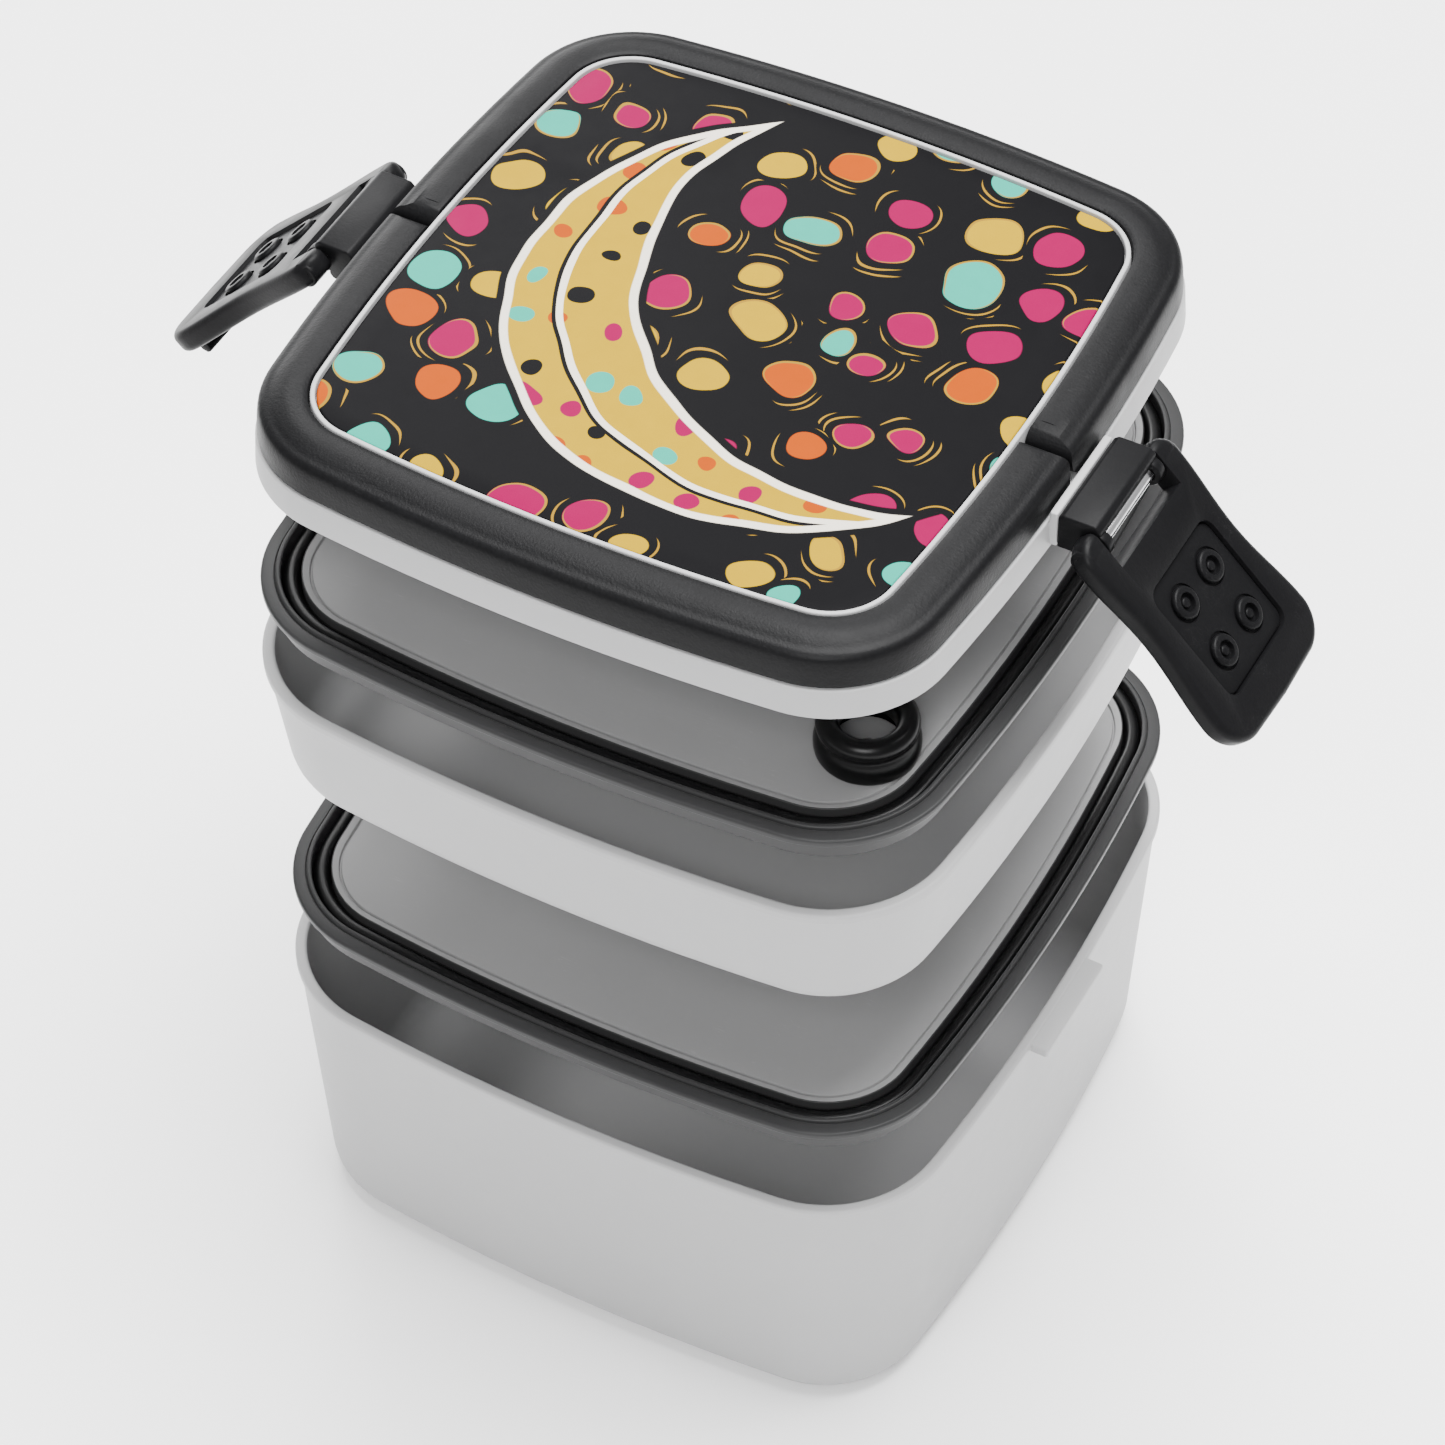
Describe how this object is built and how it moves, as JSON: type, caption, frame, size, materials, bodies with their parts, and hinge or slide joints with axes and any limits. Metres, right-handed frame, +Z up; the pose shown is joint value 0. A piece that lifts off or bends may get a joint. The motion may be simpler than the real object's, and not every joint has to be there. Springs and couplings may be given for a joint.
{
  "type": "bento lunch box",
  "caption": "Bowed square tiered lunch box: deep box, shallow tray, gasketed inner lids and an outer lid with a fold-up carry handle and side latches.",
  "frame": {"origin": "middle of the lower box's underside", "axes": "+Z up through the stack, +X towards the right-hand latch, -Y towards the front, where the handle folds away from"},
  "size_m": [0.2412, 0.156, 0.2296],
  "materials": {
    "white_plastic": "satin white moulded polypropylene",
    "smoke_plastic": "smoke grey moulded plastic, satin",
    "silicone": "matte black silicone",
    "soft_black": "soft-touch matte black",
    "black_plastic": "fine-textured black",
    "printed_panel": "charcoal panel with a printed pattern of coloured dots and dashes",
    "pin_steel": "polished steel"
  },
  "bodies": {
    "box": {"lower_box": "white_plastic"},
    "tier_lid": {"middle_lid": "smoke_plastic", "middle_lid_gasket": "silicone"},
    "tray": {"upper_tray": "white_plastic"},
    "top_tier_lid": {"inner_lid": "smoke_plastic", "inner_lid_gasket": "silicone"},
    "vent": {"vent_plug": "silicone"},
    "outer_lid": {"lid_shell": "white_plastic", "print_panel": "printed_panel", "front_trim": "soft_black", "handle_pin_left": "pin_steel", "handle_pin_right": "pin_steel", "hinge_block_left": "black_plastic", "hinge_block_right": "black_plastic", "latch_pin_left": "pin_steel", "latch_pin_right": "pin_steel"},
    "handle": {"carry_handle": "soft_black"},
    "left_latch": {"latch_left": "black_plastic", "latch_inlay_left": "black_plastic"},
    "right_latch": {"latch_right": "black_plastic", "latch_inlay_right": "black_plastic"}
  },
  "joints": [
    {"name": "middle_lid_lift", "type": "slide", "parent": "box", "child": "tier_lid", "axis": [0, 0, 1], "range_m": [-0.022, 0]},
    {"name": "upper_tray_lift", "type": "slide", "parent": "tier_lid", "child": "tray", "axis": [0, 0, 1], "range_m": [-0.0352, 0]},
    {"name": "inner_lid_lift", "type": "slide", "parent": "tray", "child": "top_tier_lid", "axis": [0, 0, 1], "range_m": [-0.0182, 0]},
    {"name": "vent_pull", "type": "slide", "parent": "top_tier_lid", "child": "vent", "axis": [0, 0, 1], "range_m": [0, 0.012]},
    {"name": "outer_lid_lift", "type": "slide", "parent": "top_tier_lid", "child": "outer_lid", "axis": [0, 0, 1], "range_m": [-0.0306, 0]},
    {"name": "handle_hinge", "type": "hinge", "parent": "outer_lid", "child": "handle", "pos_m": [0, 0.003, 0.2255], "axis": [1, 0, 0], "range_deg": [0, 90]},
    {"name": "left_latch_hinge", "type": "hinge", "parent": "outer_lid", "child": "left_latch", "pos_m": [-0.0846, 0, 0.2185], "axis": [0, 1, 0], "range_deg": [-45, 40]},
    {"name": "right_latch_hinge", "type": "hinge", "parent": "outer_lid", "child": "right_latch", "pos_m": [0.0846, 0, 0.2185], "axis": [0, -1, 0], "range_deg": [-45, 40]}
  ]
}
